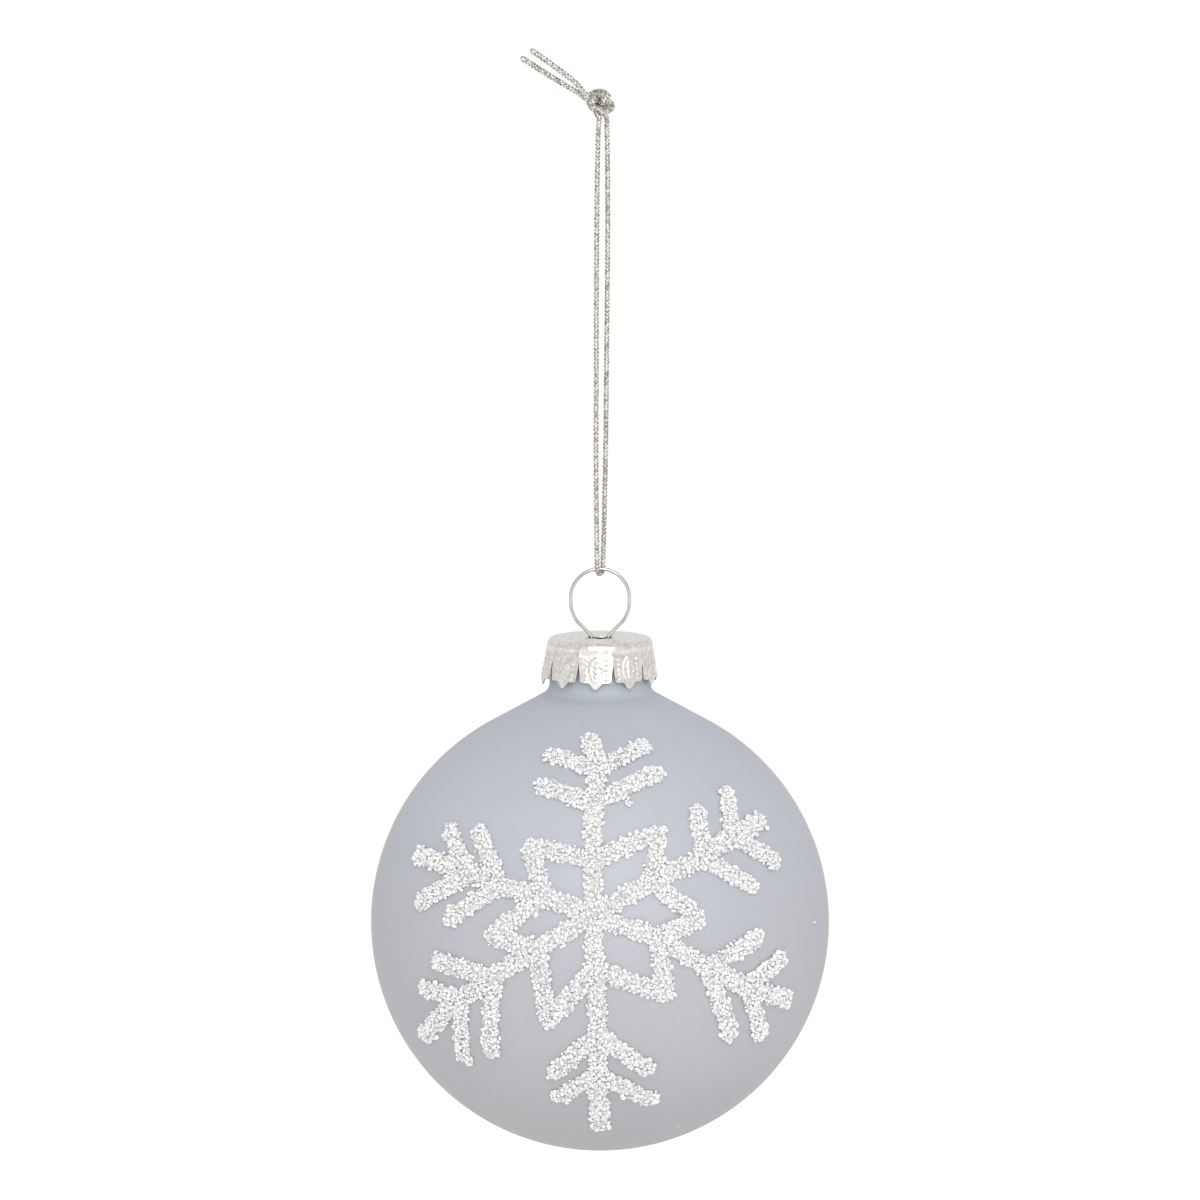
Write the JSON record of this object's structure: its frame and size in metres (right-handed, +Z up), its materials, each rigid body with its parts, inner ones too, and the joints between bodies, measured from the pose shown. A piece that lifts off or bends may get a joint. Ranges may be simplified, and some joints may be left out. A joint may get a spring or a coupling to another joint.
{
  "type": "glass ball ornament",
  "caption": "Satin grey-blue glass ball ornament, 80 mm, with a raised white grit snowflake, a silver crown cap, a spring-wire ring and a knotted silver cord loop.",
  "frame": {"origin": "hang point: inside the top of the cord loop, just under its knot", "axes": "+Z up along the hanging ball's axis, front with the snowflake towards -Y"},
  "size_m": [0.08, 0.0812, 0.1939],
  "materials": {
    "lacquered_glass": "matte",
    "white_grit": "matte",
    "cap_metal": "satin",
    "spring_wire": "satin",
    "silver_cord": "satin"
  },
  "bodies": {
    "cord": {"cord_left": "silver_cord", "cord_right": "silver_cord", "cord_knot": "silver_cord"},
    "hanger": {"hanger_wire": "spring_wire"},
    "cap": {"crown_cap": "cap_metal"},
    "ball": {"glass_ball": "lacquered_glass", "snowflake_star": "white_grit", "snowflake_arm_top": "white_grit", "snowflake_arm_upper_right": "white_grit", "snowflake_arm_lower_right": "white_grit", "snowflake_arm_bottom": "white_grit", "snowflake_arm_lower_left": "white_grit", "snowflake_arm_upper_left": "white_grit"}
  },
  "joints": [
    {"name": "loop_swing", "type": "hinge", "parent": "cord", "child": "hanger", "pos_m": [0, 0, -0.08002], "axis": [1, 0, 0], "range_deg": [-80, 80]},
    {"name": "hanger_slide", "type": "slide", "parent": "hanger", "child": "cap", "axis": [0, 0, 1], "range_m": [-0.003, 0]},
    {"name": "cap_pull", "type": "slide", "parent": "cap", "child": "ball", "axis": [0, 0, 1], "range_m": [-0.03, 0]}
  ]
}
